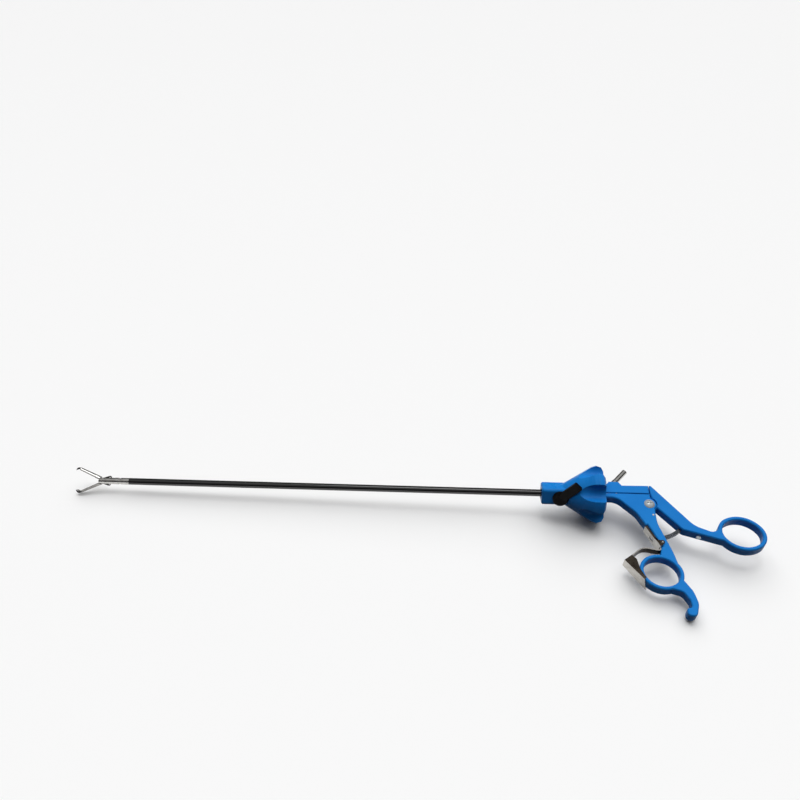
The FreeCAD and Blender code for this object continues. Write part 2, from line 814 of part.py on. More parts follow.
def handle_body():
    """Moulded lower housing with the front grip, finger ring and tail hook."""
    body = prism(body_outline(), -plate_half, plate_half)
    outer_a = finger_hole_a + finger_band
    outer_b = finger_hole_b + finger_band
    ring = oval(finger_ring, outer_a, outer_b, finger_ring_tilt, -plate_half, plate_half)
    hook = prism(hook_outline(), -plate_half, plate_half)
    body = fused([body, ring, hook])
    body = body.cut(oval(finger_ring, finger_hole_a, finger_hole_b, finger_ring_tilt, -9, 9))
    body = body.cut(channel_recess())
    body = bevel_plate_edges(body, edge_bevel)
    body = body.cut(barrel_bores())
    body = body.cut(fork_slot())
    body = body.cut(rack_slot())
    body = body.cut(rod_along_z(pivot_shank_d / 2.0 + snug, (pivot_x, pivot_y), -9, 9))
    body = body.cut(nut_pocket())
    body = body.cut(rod_along_z(rivet_d / 2.0 + snug, rivet_at, -9, 9))
    return body.cut(rod_along_z(lever_pin_d / 2.0 + snug, lever_pin_at, -9, 9))


def top_cover():
    """Upper half of the housing, with the bevelled boss for the current pin."""
    front_top = neck_half
    outline = [
        (body_front, seam_y),
        (body_front, front_top),
        (hf_base[0] - boss_half_length, hf_base[1]),
        (hf_base[0] + boss_half_length, hf_base[1]),
        (hf_base[0] + boss_half_length + 2.2, cover_top - 0.3),
        (cover_end, cover_top),
        (cover_end, seam_y),
    ]
    cover = polygon_prism(outline, -plate_half, plate_half)
    cover = bevel_plate_edges(cover, edge_bevel)
    cover = cover.cut(barrel_bores())
    cover = cover.cut(fork_slot())
    cover = cover.cut(pin_along_lean(hf_spigot_d / 2.0 + snug, -hf_spigot_length, 1.0))
    brush_room = brush_cylinder(brush_d / 2.0 + snug, 0, brush_top() + 0.2)
    return cover.cut(brush_room)


def pin_along_lean(radius, low, high):
    """Cylinder along the leaning current pin, measured from its base on the boss."""
    lean = math.radians(hf_pin_lean)
    direction = point(math.sin(lean), math.cos(lean))
    start = point(*hf_base).add(direction * low)
    return Part.makeCylinder(radius, high - low, start, direction)


def hf_pin():
    """Current pin: a bright peg with a bevelled end, standing on a collar in the boss."""
    neck_low = hf_collar_length
    peg_low = neck_low + hf_neck_length
    peg = pin_along_lean(hf_pin_d / 2.0, peg_low, hf_pin_shown)
    ends = sorted(peg.Edges, key=lambda e: -e.BoundBox.YMax)
    peg = peg.makeChamfer(hf_pin_bevel, [ends[0]])
    neck = pin_along_lean(hf_neck_d / 2.0, neck_low - 0.5, peg_low + 0.5)
    collar = pin_along_lean(hf_collar_d / 2.0, 0, neck_low)
    collar = collar.cut(block(0, pivot_x, -plate_half, hf_base[1] + snug, -9, 9))
    spigot = pin_along_lean(hf_spigot_d / 2.0, -hf_spigot_length, neck_low)
    return fused([peg, neck, collar, spigot])


def brush_top():
    lean = math.radians(hf_pin_lean)
    return hf_base[1] - hf_spigot_length * math.cos(lean) - hf_spigot_d / 2.0 * math.sin(lean) - 0.1


def brush_cylinder(radius, y_low, y_high):
    return Part.makeCylinder(radius, y_high - y_low, point(brush_x, y_low), Y_AXIS)


def contact_brush():
    """Contact that passes the current from the pin to the turning hub."""
    brush = brush_cylinder(brush_d / 2.0, 0, brush_top())
    return brush.cut(rod_along_x(hub_d / 2.0 + running, brush_x - 5, brush_x + 5))


def barrel_bush():
    bush = rod_along_x(bush_d / 2.0, body_front, body_front + bush_length)
    return bush.cut(rod_along_x(hub_d / 2.0 + running, body_front - 1, body_front + bush_length + 1))


def pivot_screw():
    """Domed screw with a cross recess."""
    centre = (pivot_x, pivot_y)
    shank = rod_along_z(pivot_shank_d / 2.0, centre, -plate_half + 0.2, plate_half + 0.5)
    head_r = pivot_head_d / 2.0
    dome_r = (head_r ** 2 + pivot_head_height ** 2) / (2.0 * pivot_head_height)
    dome_z = plate_half + pivot_head_height - dome_r
    dome = Part.makeSphere(dome_r, point(pivot_x, pivot_y, dome_z))
    head = dome.common(rod_along_z(head_r, centre, plate_half, plate_half + pivot_head_height + 1))
    recess_low = plate_half + pivot_head_height - pivot_cross_depth
    recess_high = plate_half + pivot_head_height + 1
    long_half = pivot_head_d * 0.28
    short_half = pivot_cross_width / 2.0
    for half_x, half_y in ((long_half, short_half), (short_half, long_half)):
        head = head.cut(block(pivot_x - half_x, pivot_x + half_x, pivot_y - half_y, pivot_y + half_y,
                              recess_low, recess_high))
    return fused([shank, head])


def pivot_bush():
    """Steel bush round the screw, on which the tongue turns."""
    centre = (pivot_x, pivot_y)
    half = cheek_slot_half
    inner = pivot_shank_d / 2.0 + snug
    bush = rod_along_z(inner + pivot_bush_wall, centre, -half, half)
    return bush.cut(rod_along_z(inner, centre, -half - 1, half + 1))


def nut_hexagon(across, z_low, z_high):
    corners = [polar((pivot_x, pivot_y), across / math.sqrt(3.0), 60.0 * i) for i in range(6)]
    return polygon_prism(corners, z_low, z_high)


def nut_pocket():
    return nut_hexagon(nut_across + 2 * snug, -9, -plate_half + nut_thick - nut_stand)


def pivot_nut():
    low = -plate_half - nut_stand
    nut = nut_hexagon(nut_across, low, low + nut_thick)
    return nut.cut(rod_along_z(pivot_shank_d / 2.0 + snug, (pivot_x, pivot_y), -9, 9))


def cheek_rivet():
    return rod_along_z(rivet_d / 2.0, rivet_at, -plate_half - 0.15, plate_half + 0.15)


# Thumb handle and ratchet

def thumb_outline():
    """Full-thickness arm: head behind the cover, straight shank, slim tail into the ring."""
    head_low = polar((pivot_x, pivot_y), cheek_r, -28.0)
    return rounded_outline([
        (pivot_x, cover_top, 0),
        (head_low[0], head_low[1], 0),
        (93.9, -29.5, 4.0),
        (124.5, -38.7, 0),
        (122.0, -26.4, 0),
        (113.4, -30.5, 4.0),
        (102.2, -25.8, 16.0),
        (77.6, cover_top, 1.6),
    ])


def thumb_room():
    """Space in front of the arm for the cover and the round cheeks."""
    return fused([
        rod_along_z(cheek_r + swing_gap, (pivot_x, pivot_y), -9, 9),
        block(0, cover_end + 0.6, pivot_y, 2 * cover_top, -9, 9),
    ])


def thumb_tongue():
    """Tongue between the cheeks: disc round the pivot and a fork for the ball."""
    half = tongue_half
    centre = (pivot_x, pivot_y)
    fork_half = ball_d / 2.0 + fork_wall
    fork_top = lever_arm + ball_d / 2.0 + fork_wall * 0.6
    fork = block(-fork_half, fork_half, 0, fork_top, -half, half)
    mouth = ball_d / 2.0 + running
    mouth_low = lever_arm - ball_d * 0.62
    slit = ball_collar_d / 2.0 + 0.25
    fork = fork.cut(block(-mouth, mouth, mouth_low, fork_top + 1, -half - 1, half + 1))
    fork = fork.cut(block(-fork_half - 1, 0, mouth_low, fork_top + 1, -slit, slit))
    fork.rotate(ORIGIN, Z_AXIS, math.degrees(fork_swing))
    fork.translate(point(pivot_x, pivot_y))
    disc = rod_along_z(tongue_disc_r, centre, -half, half)
    web_points = [(pivot_x, pivot_y - 2.5), (84.5, -13.5), (82.0, -1.6), (pivot_x + 1.5, pivot_y + 5.2)]
    web = polygon_prism(web_points, -half, half)
    return fused([disc, fork, web])


def tang_frame():
    """Start point and heading of the rack's tang inside the arm."""
    heading = unit((93.9, -29.5), (124.5, -38.7))
    start = polar((pivot_x, pivot_y), rack_r + 0.3, rack_root_angle - 0.5)
    return start, heading


def tang_solid(play):
    start, heading = tang_frame()
    up = (-heading[1], heading[0])
    low = along(start, up, -tang_height / 2.0 - play)
    far = along(low, heading, tang_length + play)
    half = rack_thick / 2.0 + play
    corners = [low, far, along(far, up, tang_height + 2 * play), along(low, up, tang_height + 2 * play)]
    return polygon_prism(corners, -half, half)


def rack_arc(play):
    inner = rack_r - rack_height / 2.0 - play
    outer = rack_r + rack_height / 2.0 + play
    half = rack_thick / 2.0 + play
    centre = (pivot_x, pivot_y)
    return ring_sector(centre, inner, outer, rack_free_angle, rack_root_angle, -half, half)


def screw_axis():
    start, heading = tang_frame()
    at = along(start, heading, tang_length - 3.0)
    down = (heading[1], -heading[0])
    return at, down


def screw_cylinder(radius, low, high):
    at, down = screw_axis()
    start = along(at, down, low)
    direction = point(down[0], down[1])
    return Part.makeCylinder(radius, high - low, point(*start), direction)


def screw_head_depth():
    """Distance from the tang's middle to the underside of the arm along the screw."""
    at, down = screw_axis()
    base = (93.9, -29.5)
    return (base[0] - at[0]) * down[0] + (base[1] - at[1]) * down[1]


def thumb_handle():
    """Moulded arm with the thumb ring and the tongue that pulls the rod."""
    arm = prism(thumb_outline(), -plate_half, plate_half)
    outer_a = thumb_hole_a + thumb_band
    outer_b = thumb_hole_b + thumb_band
    ring = oval(thumb_ring, outer_a, outer_b, thumb_ring_tilt, -plate_half, plate_half)
    arm = fused([arm, ring])
    arm = arm.cut(oval(thumb_ring, thumb_hole_a, thumb_hole_b, thumb_ring_tilt, -9, 9))
    arm = bevel_plate_edges(arm, edge_bevel).cut(thumb_room())
    arm = fused([arm, thumb_tongue()])
    bush_r = pivot_shank_d / 2.0 + snug + pivot_bush_wall
    arm = arm.cut(rod_along_z(bush_r + running, (pivot_x, pivot_y), -9, 9))
    arm = arm.cut(tang_solid(snug)).cut(rack_arc(snug))
    return arm.cut(screw_cylinder(rack_screw_d / 2.0 + snug, 0, 20))


def ratchet_rack():
    """Curved toothed bar about the pivot, with a tang fixed in the arm."""
    rack = rack_arc(0.0)
    outer = rack_r + rack_height / 2.0
    centre = (pivot_x, pivot_y)
    teeth = int((rack_root_angle - rack_free_angle - 12.0) / tooth_pitch)
    notches = []
    for i in range(teeth):
        angle = rack_free_angle + 1.0 + i * tooth_pitch
        corners = [
            polar(centre, outer + 0.3, angle),
            polar(centre, outer - tooth_depth, angle),
            polar(centre, outer + 0.3, angle + tooth_pitch * 0.96),
        ]
        notches.append(polygon_prism(corners, -rack_thick, rack_thick))
    rack = rack.cut(Part.makeCompound(notches))
    rack = fused([rack, tang_solid(0.0)])
    return rack.cut(screw_cylinder(rack_screw_d / 2.0 + snug, -5, 20))


def rack_screw():
    """Small screw from the underside of the arm into the tang."""
    depth = screw_head_depth()
    shank = screw_cylinder(rack_screw_d / 2.0, -tang_height / 2.0, depth + 0.1)
    head = screw_cylinder(rack_screw_head_d / 2.0, depth + snug, depth + rack_screw_head)
    return fused([shank, head])


# Release lever

def bent_sheet(corners, half_width):
    """Sheet along a centre line of corners (x, y, bend radius), square at both ends."""
    half = sheet / 2.0
    left = []
    right = []
    for i, (x, y, radius) in enumerate(corners):
        if i == 0 or i == len(corners) - 1:
            other = corners[1] if i == 0 else corners[-2]
            heading = unit((x, y), other[:2]) if i == 0 else unit(other[:2], (x, y))
            left.append([along((x, y), (-heading[1], heading[0]), half)])
            right.append([along((x, y), (heading[1], -heading[0]), half)])
            continue
        into = unit(corners[i - 1][:2], (x, y))
        out = unit((x, y), corners[i + 1][:2])
        turn = 1.0 if into[0] * out[1] - into[1] * out[0] > 0 else -1.0
        bend = math.acos(into[0] * out[0] + into[1] * out[1])
        start = along((x, y), into, -radius * math.tan(bend / 2.0))
        centre = along(start, (-into[1] * turn, into[0] * turn), radius)
        for side, chain in ((1.0, left), (-1.0, right)):
            reach = radius - side * turn * half
            first = math.degrees(math.atan2(start[1] - centre[1], start[0] - centre[0]))
            sweep = turn * math.degrees(bend)
            chain.append([polar(centre, reach, first + sweep * share) for share in (0.0, 0.5, 1.0)])
    edges = []
    for i, points in enumerate(left):
        if i > 0:
            edges.append(edge_through([left[i - 1][-1], points[0]]))
        if len(points) == 3:
            edges.append(arc_through(*points))
    edges.append(edge_through([left[-1][-1], right[-1][-1]]))
    right_back = [points[::-1] for points in right[::-1]]
    for i, points in enumerate(right_back):
        if i > 0:
            edges.append(edge_through([right_back[i - 1][-1], points[0]]))
        if len(points) == 3:
            edges.append(arc_through(*points))
    edges.append(edge_through([right[0][0], left[0][0]]))
    return prism(edges, -half_width, half_width)


def web_line():
    heading = front_edge_direction()
    out = front_edge_normal()
    offset = web_gap + sheet / 2.0
    start = along(along(grip_front_high, heading, channel_start), out, offset)
    end = along(along(grip_front_high, heading, channel_end), out, offset)
    return start, end


def channel_flange(z_low, z_high):
    heading = front_edge_direction()
    inward = (-front_edge_normal()[0], -front_edge_normal()[1])
    start, end = web_line()
    corners = [start, end, along(end, inward, flange_depth), along(start, inward, flange_depth)]
    side = polygon_prism(corners, z_low, z_high)
    ear = rod_along_z(lever_ear_r, lever_pin_at, z_low, z_high)
    bridge_start = along(end, heading, -3.0)
    bridge = strap(lever_pin_at, lever_ear_r, bridge_start, 1.2, z_low, z_high)
    return fused([side, ear, bridge])


def finger_pad():
    """Flat pad that widens towards its free end."""
    heading = unit(pad_top, pad_end)
    across = (-heading[1], heading[0])
    length = math.dist(pad_top, pad_end)
    base = along(pad_top, across, -sheet / 2.0)
    corner = pad_corner_r
    half_view = [(0, pad_top_half), (length - corner, pad_end_half), (length, pad_end_half - corner)]
    corners = half_view + [(t, -w) for t, w in reversed(half_view)]
    outline = []
    for t, w in corners:
        at = along(base, heading, t)
        outline.append(point(at[0], at[1], w))
    face = Part.Face(Part.makePolygon(outline + outline[:1]))
    return face.extrude(point(across[0] * sheet, across[1] * sheet))


def release_lever():
    """Bent steel lever: channel round the grip, narrow strip and finger pad."""
    start, end = web_line()
    inner = plate_half + channel_side_gap
    outer = inner + sheet
    web = bent_sheet([(start[0], start[1], 0), (end[0], end[1], 0)], outer)
    window_inner = rack_r - rack_height / 2.0 - window_play
    window_outer = rack_r + rack_height / 2.0 + window_play
    half = rack_thick / 2.0 + window_play
    window = ring_sector((pivot_x, pivot_y), window_inner, window_outer, -112.0, -66.0, -half, half)
    web = web.cut(window)
    heading = unit(start, end)
    strip_start = along(end, heading, -strip_overlap)
    strip_corner = along(end, heading, strip_drop)
    heel = along(pad_top, unit(pad_top, pad_end), strip_overlap)
    strip = bent_sheet([
        (strip_start[0], strip_start[1], 0),
        (strip_corner[0], strip_corner[1], strip_bend_r),
        (strip_middle[0], strip_middle[1], strip_sweep_r),
        (pad_top[0], pad_top[1], strip_bend_r / 2.0),
        (heel[0], heel[1], 0),
    ], strip_half_width)
    return fused([web, channel_flange(inner, outer), channel_flange(-outer, -inner), strip, finger_pad()])


def lever_pin():
    half = plate_half + channel_side_gap + sheet + 0.1
    return rod_along_z(lever_pin_d / 2.0, lever_pin_at, -half, half)


def lever_with_bore():
    hole = rod_along_z(lever_pin_d / 2.0 + running, lever_pin_at, -9, 9)
    return release_lever().cut(hole)


# Lay the pieces on the table and write them

def laid(shape, turn):
    shape.rotate(ORIGIN, X_AXIS, turn)
    shape.rotate(ORIGIN, Y_AXIS, -nose_drop)
    return shape


jaw_pieces = {
    "jaw_yoke": jaw_yoke,
    "jaw_pin": jaw_pin,
    "upper_jaw": upper_jaw,
    "lower_jaw": lower_jaw,
    "cam_pin": cam_pin,
    "rod_tip": rod_tip,
}

knob_pieces = {
    "insulation_sleeve": insulation_sleeve,
    "sheath_tube": sheath_tube,
    "pull_rod": pull_rod,
    "rod_ball": rod_ball,
    "rod_seal": rod_seal,
    "sheath_hub": sheath_hub,
    "retaining_clip": retaining_clip,
    "rotation_knob": rotation_knob,
    "flush_port": flush_port,
    "flush_cap": flush_cap,
}

handle_pieces = {
    "handle_body": handle_body,
    "top_cover": top_cover,
    "hf_pin": hf_pin,
    "contact_brush": contact_brush,
    "barrel_bush": barrel_bush,
    "pivot_screw": pivot_screw,
    "pivot_bush": pivot_bush,
    "pivot_nut": pivot_nut,
    "cheek_rivet": cheek_rivet,
    "thumb_handle": thumb_handle,
    "ratchet_rack": ratchet_rack,
    "rack_screw": rack_screw,
    "release_lever": lever_with_bore,
    "lever_pin": lever_pin,
}

os.makedirs("parts", exist_ok=True)
for turn, pieces in ((jaw_turn, jaw_pieces), (knob_turn, knob_pieces), (handle_lean, handle_pieces)):
    for name, make in pieces.items():
        solid = laid(make(), turn)
        solid.exportStep("parts/" + name + ".step")
        print(name, "solids", len(solid.Solids), "valid", solid.isValid(), "volume", round(solid.Volume, 2))
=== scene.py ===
import bpy
import bmesh
import json
import math
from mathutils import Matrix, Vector


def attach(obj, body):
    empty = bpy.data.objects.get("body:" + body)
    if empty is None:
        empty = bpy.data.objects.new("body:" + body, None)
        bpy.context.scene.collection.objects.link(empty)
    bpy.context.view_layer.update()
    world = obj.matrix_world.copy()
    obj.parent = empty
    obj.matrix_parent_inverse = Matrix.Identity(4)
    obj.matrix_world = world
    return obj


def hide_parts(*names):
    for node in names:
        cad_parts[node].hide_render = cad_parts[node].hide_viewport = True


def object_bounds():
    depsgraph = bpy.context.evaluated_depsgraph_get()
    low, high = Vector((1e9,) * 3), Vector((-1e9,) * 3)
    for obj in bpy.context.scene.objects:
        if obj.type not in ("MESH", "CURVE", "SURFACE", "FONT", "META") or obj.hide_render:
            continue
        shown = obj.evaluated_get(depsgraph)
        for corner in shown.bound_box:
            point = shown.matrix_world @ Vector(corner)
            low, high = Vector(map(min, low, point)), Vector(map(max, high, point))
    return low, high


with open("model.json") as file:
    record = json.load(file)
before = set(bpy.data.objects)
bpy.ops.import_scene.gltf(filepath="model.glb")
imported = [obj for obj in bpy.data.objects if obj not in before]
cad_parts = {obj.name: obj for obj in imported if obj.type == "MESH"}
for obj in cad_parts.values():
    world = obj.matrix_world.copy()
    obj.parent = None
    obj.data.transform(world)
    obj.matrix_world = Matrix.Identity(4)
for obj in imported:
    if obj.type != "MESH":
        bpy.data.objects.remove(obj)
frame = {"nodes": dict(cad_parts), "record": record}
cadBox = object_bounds()
print("frame loaded, nodes:", len(frame["nodes"]))


# materials

def newMaterial(name):
    mat = bpy.data.materials.new(name)
    mat.use_nodes = True
    tree = mat.node_tree
    shader = tree.nodes["Principled BSDF"]
    return mat, tree, shader


def noiseField(tree, scale, detail, stretch=(1.0, 1.0, 1.0)):
    where = tree.nodes.new("ShaderNodeTexCoord")
    mapping = tree.nodes.new("ShaderNodeMapping")
    mapping.inputs["Scale"].default_value = stretch
    noise = tree.nodes.new("ShaderNodeTexNoise")
    noise.inputs["Scale"].default_value = scale
    noise.inputs["Detail"].default_value = detail
    tree.links.new(where.outputs["Object"], mapping.inputs["Vector"])
    tree.links.new(mapping.outputs["Vector"], noise.inputs["Vector"])
    return noise.outputs["Fac"]


def spread(tree, field, low, high):
    # noise stays mostly between 0.3 and 0.7, stretched here to low and high
    remap = tree.nodes.new("ShaderNodeMapRange")
    remap.inputs["From Min"].default_value = 0.3
    remap.inputs["From Max"].default_value = 0.7
    remap.inputs["To Min"].default_value = low
    remap.inputs["To Max"].default_value = high
    tree.links.new(field, remap.inputs["Value"])
    return remap.outputs["Result"]


def mixColours(tree, field, first, second):
    mix = tree.nodes.new("ShaderNodeMix")
    mix.data_type = "RGBA"
    mix.inputs["A"].default_value = (*first, 1.0)
    mix.inputs["B"].default_value = (*second, 1.0)
    tree.links.new(field, mix.inputs["Factor"])
    return mix.outputs["Result"]


edgeRounding = {"samples": 6, "leanLimit": 0.8}


def roundedNormal(tree, radius, bumpField, bumpDepth):
    bevel = tree.nodes.new("ShaderNodeBevel")
    bevel.samples = edgeRounding["samples"]
    bevel.inputs["Radius"].default_value = radius
    bump = tree.nodes.new("ShaderNodeBump")
    bump.inputs["Strength"].default_value = 1.0
    bump.inputs["Distance"].default_value = bumpDepth
    tree.links.new(bumpField, bump.inputs["Height"])
    tree.links.new(bevel.outputs["Normal"], bump.inputs["Normal"])
    return bump.outputs["Normal"]


def edgeLeanMask(tree, radius, amount):
    # how far the rounded normal leans from the true one, high only along edges
    bevel = tree.nodes.new("ShaderNodeBevel")
    bevel.samples = edgeRounding["samples"]
    bevel.inputs["Radius"].default_value = radius
    geometry = tree.nodes.new("ShaderNodeNewGeometry")
    dot = tree.nodes.new("ShaderNodeVectorMath")
    dot.operation = "DOT_PRODUCT"
    tree.links.new(bevel.outputs["Normal"], dot.inputs[0])
    tree.links.new(geometry.outputs["Normal"], dot.inputs[1])
    remap = tree.nodes.new("ShaderNodeMapRange")
    remap.inputs["From Min"].default_value = 1.0
    remap.inputs["From Max"].default_value = edgeRounding["leanLimit"]
    remap.inputs["To Min"].default_value = 0.0
    remap.inputs["To Max"].default_value = amount
    tree.links.new(dot.outputs["Value"], remap.inputs["Value"])
    return remap.outputs["Result"]


mouldedBlue = {
    "handle_blue": {"colour": (0.012, 0.225, 0.66), "deep": (0.009, 0.195, 0.61), "rough": (0.3, 0.44)},
    "thumb_blue": {"colour": (0.012, 0.215, 0.64), "deep": (0.009, 0.185, 0.59), "rough": (0.3, 0.44)},
    "knob_blue": {"colour": (0.012, 0.22, 0.65), "deep": (0.009, 0.185, 0.59), "rough": (0.24, 0.36)},
    "edgeLift": (0.07, 0.38, 0.86),
    "edgeShare": 0.35,
    "cloudScale": 45.0,
    "smudgeScale": 160.0,
    "grainScale": 900.0,
    "grainDepth": 0.00002,
    "edgeRadius": 0.0005,
    "sheen": 0.1,
}


def makeMouldedBlue(slotName):
    values = mouldedBlue[slotName]
    mat, tree, shader = newMaterial(slotName + "Moulded")
    cloud = noiseField(tree, mouldedBlue["cloudScale"], 3.0)
    base = mixColours(tree, spread(tree, cloud, 0.0, 1.0), values["colour"], values["deep"])
    # lighter blue mixed in evenly along every edge
    lighterEdgeMask = edgeLeanMask(tree, mouldedBlue["edgeRadius"], mouldedBlue["edgeShare"])
    mix = tree.nodes.new("ShaderNodeMix")
    mix.data_type = "RGBA"
    tree.links.new(base, mix.inputs["A"])
    mix.inputs["B"].default_value = (*mouldedBlue["edgeLift"], 1.0)
    tree.links.new(lighterEdgeMask, mix.inputs["Factor"])
    tree.links.new(mix.outputs["Result"], shader.inputs["Base Color"])
    smudge = noiseField(tree, mouldedBlue["smudgeScale"], 4.0)
    tree.links.new(spread(tree, smudge, *values["rough"]), shader.inputs["Roughness"])
    grain = noiseField(tree, mouldedBlue["grainScale"], 2.0)
    normal = roundedNormal(tree, mouldedBlue["edgeRadius"], grain, mouldedBlue["grainDepth"])
    tree.links.new(normal, shader.inputs["Normal"])
    shader.inputs["Specular IOR Level"].default_value = mouldedBlue["sheen"]
    return mat


blackFinish = {
    "sleeve_black": {
        "colour": (0.0012, 0.0011, 0.0011), "rough": (0.08, 0.16), "grain": 0.000004, "sheen": 0.9,
    },
    "port_black": {
        "colour": (0.0015, 0.0014, 0.0014), "rough": (0.3, 0.45), "grain": 0.00002, "sheen": 0.15,
    },
    "cap_black": {
        "colour": (0.0018, 0.0013, 0.0012), "rough": (0.45, 0.65), "grain": 0.00003, "sheen": 0.12,
    },
    # painted shade: the dark strip along the housing's parting line
    "seam_painted_shade": {
        "colour": (0.001, 0.02, 0.08), "rough": (0.5, 0.7), "grain": 0.00001, "sheen": 0.05,
    },
    "seal_rubber": {
        "colour": (0.5, 0.5, 0.48), "rough": (0.5, 0.7), "grain": 0.00003, "sheen": 0.3,
    },
}
blackGrain = {"cloudScale": 70.0, "smudgeScale": 220.0, "grainScale": 1200.0, "edgeRadius": 0.0003, "lift": 1.8}


def makeBlack(slotName):
    values = blackFinish[slotName]
    mat, tree, shader = newMaterial(slotName + "Finish")
    cloud = noiseField(tree, blackGrain["cloudScale"], 3.0)
    lifted = tuple(c * blackGrain["lift"] for c in values["colour"])
    shade = mixColours(tree, spread(tree, cloud, 0.0, 1.0), values["colour"], lifted)
    tree.links.new(shade, shader.inputs["Base Color"])
    smudge = noiseField(tree, blackGrain["smudgeScale"], 4.0)
    tree.links.new(spread(tree, smudge, *values["rough"]), shader.inputs["Roughness"])
    grain = noiseField(tree, blackGrain["grainScale"], 2.0)
    normal = roundedNormal(tree, blackGrain["edgeRadius"], grain, values["grain"])
    tree.links.new(normal, shader.inputs["Normal"])
    shader.inputs["Specular IOR Level"].default_value = values["sheen"]
    return mat


evenGrain = (1.0, 1.0, 1.0)
longGrain = (0.1, 1.0, 1.0)    # brushed along the shaft
metalFinish = {
    "bright_steel": {
        "colour": (0.74, 0.73, 0.71), "dark": (0.52, 0.51, 0.49), "rough": (0.1, 0.2), "stretch": evenGrain,
    },
    "dark_steel": {
        "colour": (0.42, 0.41, 0.39), "dark": (0.22, 0.21, 0.2), "rough": (0.16, 0.3), "stretch": evenGrain,
    },
    "satin_steel": {
        "colour": (0.62, 0.6, 0.56), "dark": (0.44, 0.42, 0.39), "rough": (0.24, 0.38),
        "stretch": (0.12, 1.0, 1.0),
    },
    "steel": {
        "colour": (0.6, 0.6, 0.59), "dark": (0.4, 0.4, 0.39), "rough": (0.2, 0.34), "stretch": longGrain,
    },
    # darkened copy of the lever's sheet steel: painted dark reflection
    "steel_painted_dark_reflection": {
        "colour": (0.06, 0.05, 0.04), "dark": (0.03, 0.024, 0.02), "rough": (0.22, 0.38), "stretch": evenGrain,
    },
    "rack_steel": {
        "colour": (0.16, 0.17, 0.19), "dark": (0.09, 0.1, 0.11), "rough": (0.2, 0.34), "stretch": evenGrain,
    },
    "screw_steel": {
        "colour": (0.8, 0.84, 0.86), "dark": (0.6, 0.64, 0.67), "rough": (0.12, 0.24), "stretch": evenGrain,
        "metal": 0.55,
    },
    "brass": {
        "colour": (0.7, 0.5, 0.22), "dark": (0.5, 0.33, 0.12), "rough": (0.2, 0.35), "stretch": evenGrain,
    },
}
metalGrain = {"stainScale": 240.0, "brushScale": 1600.0, "edgeRadius": 0.00018, "depth": 0.000006}


def makeMetal(slotName):
    values = metalFinish[slotName]
    mat, tree, shader = newMaterial(slotName + "Metal")
    shader.inputs["Metallic"].default_value = values.get("metal", 1.0)
    stain = spread(tree, noiseField(tree, metalGrain["stainScale"], 5.0, values["stretch"]), 0.0, 1.0)
    tree.links.new(mixColours(tree, stain, values["colour"], values["dark"]), shader.inputs["Base Color"])
    brushed = noiseField(tree, metalGrain["brushScale"], 3.0, values["stretch"])
    tree.links.new(spread(tree, brushed, *values["rough"]), shader.inputs["Roughness"])
    normal = roundedNormal(tree, metalGrain["edgeRadius"], brushed, metalGrain["depth"])
    tree.links.new(normal, shader.inputs["Normal"])
    return mat


slotMaterials = {}
for slotName in ("handle_blue", "thumb_blue", "knob_blue"):
    slotMaterials[slotName] = makeMouldedBlue(slotName)
for slotName in blackFinish:
    slotMaterials[slotName] = makeBlack(slotName)
for slotName in metalFinish:
    slotMaterials[slotName] = makeMetal(slotName)

# pieces whose finish differs from the rest of their slot
ownFinish = {
    "ratchet_rack": "rack_steel",
    "pivot_screw": "screw_steel",
    "rack_screw": "screw_steel",
    "cheek_rivet": "screw_steel",
}
nodeSlots = {part["node"]: part["material_slot"] for part in frame["record"]["subparts"]}
for node, obj in frame["nodes"].items():
    obj.data.materials.clear()
    obj.data.materials.append(slotMaterials[ownFinish.get(node, nodeSlots[node])])
print("materials made:", len(slotMaterials))


# pieces built in mesh code, drawn in the same frame as the part's source and laid down as it is

lie = {"handleLean": 10.3, "noseDrop": 1.65}
millimetre = 0.001


def laidPoint(x, y, w, turn):
    a = math.radians(turn)
    d = math.radians(lie["noseDrop"])
    y, z = y * math.cos(a) - w * math.sin(a), y * math.sin(a) + w * math.cos(a)
    return Vector((x * math.cos(d) - z * math.sin(d), y, x * math.sin(d) + z * math.cos(d))) * millimetre


def meshPiece(name, bm, turn, body, materials):
    for vert in bm.verts:
        vert.co = laidPoint(*vert.co, turn)
    mesh = bpy.data.meshes.new(name)
    bm.to_mesh(mesh)
    bm.free()
    for mat in materials:
        mesh.materials.append(mat)
    obj = bpy.data.objects.new(name, mesh)
    bpy.context.scene.collection.objects.link(obj)
    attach(obj, body)
    return obj


def bendPath(corners, steps):
    # centre line through corners (x, y, radius), each corner an arc of equal steps
    path = [Vector(corners[0][:2])]
    for before, corner, after in zip(corners, corners[1:], corners[2:]):
        place = Vector(corner[:2])
        into = (place - Vector(before[:2])).normalized()
        out = (Vector(after[:2]) - place).normalized()
        bend = math.acos(max(-1.0, min(1.0, into.dot(out))))
        run = corner[2] * math.tan(bend / 2.0)
        for i in range(steps + 1):
            t = i / steps
            a = place - into * run * (1.0 - t)
            b = place + out * run * t
            path.append(a * (1.0 - t) + b * t)
    path.append(Vector(corners[-1][:2]))
    return path


